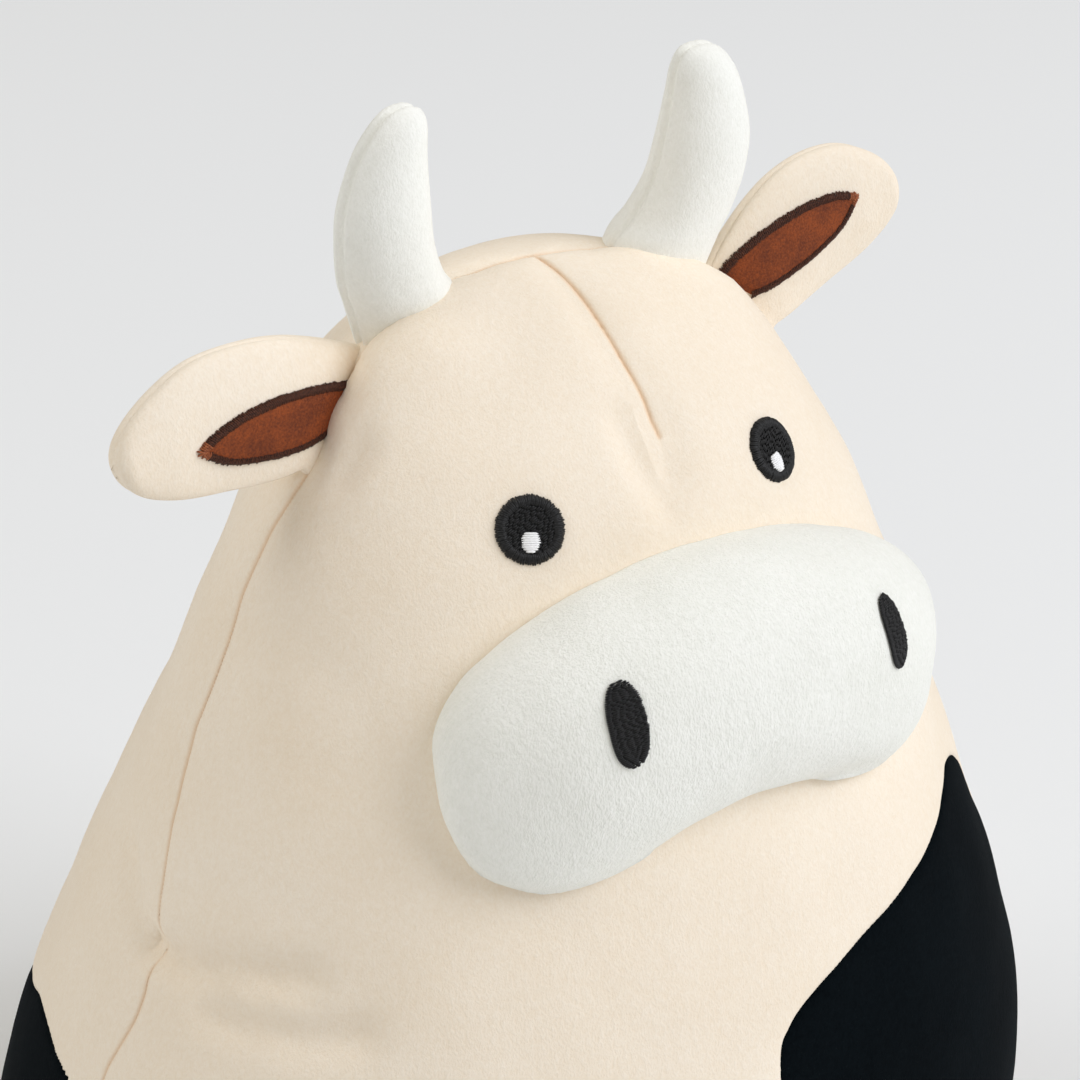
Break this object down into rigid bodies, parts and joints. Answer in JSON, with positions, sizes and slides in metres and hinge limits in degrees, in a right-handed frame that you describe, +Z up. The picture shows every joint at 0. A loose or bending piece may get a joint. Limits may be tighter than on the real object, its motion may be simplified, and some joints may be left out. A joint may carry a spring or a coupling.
{
  "type": "plush cow",
  "caption": "Seated, pear-shaped stuffed toy cow with a padded muzzle, two horns, hinged ears, a soft tail, black plush patches and embroidered eyes and nostrils.",
  "frame": {"origin": "on the flat base, in the middle of the cow's width and under the crown seam", "axes": "+Z up, -Y the way the face looks, +X towards the cow's left side"},
  "size_m": [0.2376, 0.232, 0.2985],
  "materials": {
    "cream_plush": "short, dense cream plush with a soft sheen",
    "black_plush": "short, dense black plush, matte",
    "white_plush": "short off-white plush with a slightly curled pile",
    "brown_velvet": "brown velvet",
    "black_thread": "black embroidery thread, satin",
    "white_thread": "white embroidery thread, satin",
    "brown_thread": "dark brown embroidery thread, satin",
    "fibre_filling": "loose white polyester fibre"
  },
  "bodies": {
    "body": {"front_panel": "cream_plush", "back_panel": "cream_plush", "base_panel": "cream_plush", "front_patch_left": "black_plush", "back_patch_right": "black_plush", "body_filling": "fibre_filling", "muzzle_cover": "white_plush", "muzzle_filling": "fibre_filling", "nostril_left": "black_thread", "nostril_right": "black_thread", "eye_left": "black_thread", "eye_right": "black_thread", "eye_rim_left": "black_thread", "eye_rim_right": "black_thread", "eye_glint_left": "white_thread", "eye_glint_right": "white_thread", "horn_cover_left": "white_plush", "horn_cover_right": "white_plush", "horn_filling_left": "fibre_filling", "horn_filling_right": "fibre_filling"},
    "ear_left": {"ear_front_left": "cream_plush", "ear_back_left": "cream_plush", "ear_lining_left": "brown_velvet", "ear_border_left": "brown_thread"},
    "ear_right": {"ear_front_right": "cream_plush", "ear_back_right": "cream_plush", "ear_lining_right": "brown_velvet", "ear_border_right": "brown_thread"},
    "tail": {"tail": "cream_plush", "tail_tuft": "black_plush"}
  },
  "joints": [
    {"name": "ear_left_bend", "type": "hinge", "parent": "body", "child": "ear_left", "pos_m": [0.04702, 0.00232, 0.24187], "axis": [-0.7105, 0.1209, 0.6932], "range_deg": [-30, 30], "stiffness_Nm_per_rad": 0.002},
    {"name": "ear_right_bend", "type": "hinge", "parent": "body", "child": "ear_right", "pos_m": [-0.04906, 0.00201, 0.2399], "axis": [-0.6765, -0.1234, -0.7261], "range_deg": [-30, 30], "stiffness_Nm_per_rad": 0.002},
    {"name": "tail_swing", "type": "hinge", "parent": "body", "child": "tail", "pos_m": [0, 0.11427, 0.0918], "axis": [1, 0, 0], "range_deg": [0, 75]}
  ]
}
